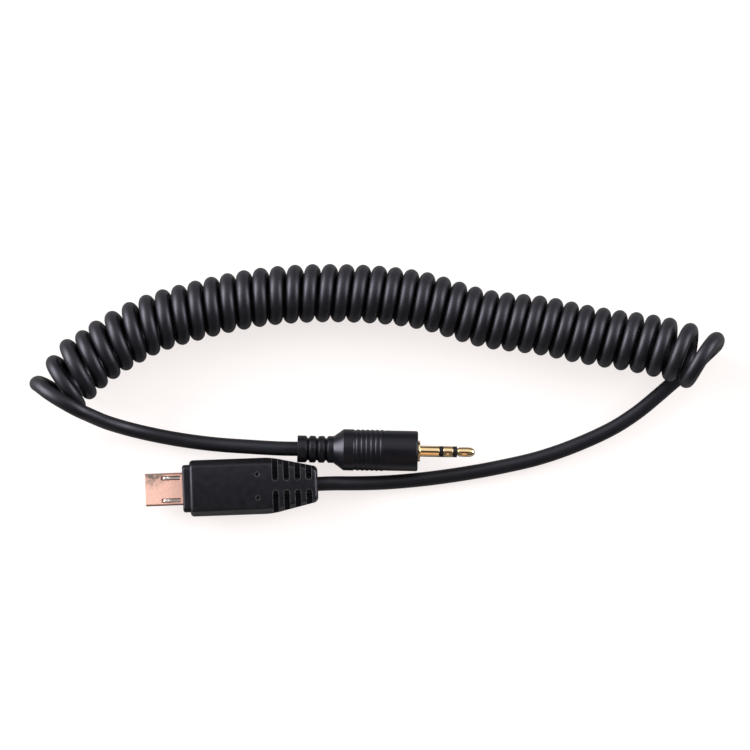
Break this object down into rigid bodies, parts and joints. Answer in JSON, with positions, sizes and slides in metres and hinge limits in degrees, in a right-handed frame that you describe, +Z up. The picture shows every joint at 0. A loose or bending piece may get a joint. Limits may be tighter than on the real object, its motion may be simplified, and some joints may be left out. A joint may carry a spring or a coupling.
{
  "type": "cable shutter release",
  "caption": "Coiled remote release cable with a slim three-pole jack plug on one end and a flat latching multi-contact plug on the other, laid in a loop.",
  "frame": {"origin": "under the middle of the box that holds the two plugs, on the table that the cable lies on", "axes": "+X along the jack plug, from its cord to its tip; +Y from the plugs towards the coiled cord; +Z up"},
  "size_m": [0.1576, 0.0581, 0.0177],
  "materials": {
    "gold_pin": "gold plated, polished",
    "collar_black": "glossy",
    "solder_lug": "tinned",
    "fibre_washer": "matt",
    "core_white": "satin",
    "core_red": "satin",
    "core_copper": "bare strands",
    "inner_mould": "moulded",
    "jack_housing_black": "satin moulded",
    "rose_shell": "plated, brushed",
    "tongue_black": "moulded",
    "contact_gold": "gold plated",
    "latch_steel": "bright spring steel",
    "collar_plastic": "satin moulded",
    "terminal_housing_black": "fine matt texture",
    "cord_jacket": "satin"
  },
  "bodies": {
    "jack_plug": {"jack_tip": "gold_pin", "jack_front_insulator": "collar_black", "jack_ring": "gold_pin", "jack_rear_insulator": "collar_black", "jack_sleeve": "gold_pin", "jack_tip_lug": "solder_lug", "jack_ring_lug": "solder_lug", "jack_sleeve_lug": "solder_lug", "jack_front_washer": "fibre_washer", "jack_rear_washer": "fibre_washer", "jack_focus_wire": "core_white", "jack_shutter_wire": "core_red", "jack_ground_wire": "core_copper", "jack_inner_mould": "inner_mould", "jack_housing": "jack_housing_black", "jack_lead": "cord_jacket", "cord_coil": "cord_jacket"},
    "terminal_plug": {"terminal_shell": "rose_shell", "terminal_insulator": "tongue_black", "upper_contacts": "contact_gold", "lower_contacts": "contact_gold", "terminal_collar": "collar_plastic", "terminal_cord_clamp": "latch_steel", "terminal_focus_wire": "core_white", "terminal_shutter_wire": "core_red", "terminal_ground_wire": "core_copper", "terminal_inner_mould": "inner_mould", "terminal_housing": "terminal_housing_black", "terminal_lead": "cord_jacket"},
    "left_latch_spring": {"left_latch": "latch_steel"},
    "right_latch_spring": {"right_latch": "latch_steel"}
  },
  "joints": [
    {"name": "coil_stretch", "type": "slide", "parent": "jack_plug", "child": "terminal_plug", "axis": [0.9744, -0.225, 0], "range_m": [0, 0.4], "stiffness_N_per_m": 6, "deforming": ["cord_coil"]},
    {"name": "left_latch_press", "type": "hinge", "parent": "terminal_plug", "child": "left_latch_spring", "pos_m": [-0.02729, -0.00141, 0.00455], "axis": [0.0558, -0.9984, 0], "range_deg": [0, 4.2], "stiffness_Nm_per_rad": 0.086},
    {"name": "right_latch_press", "type": "hinge", "parent": "terminal_plug", "child": "right_latch_spring", "pos_m": [-0.02701, -0.0065, 0.00455], "axis": [0.0558, -0.9984, 0], "range_deg": [0, 4.2], "stiffness_Nm_per_rad": 0.086}
  ]
}
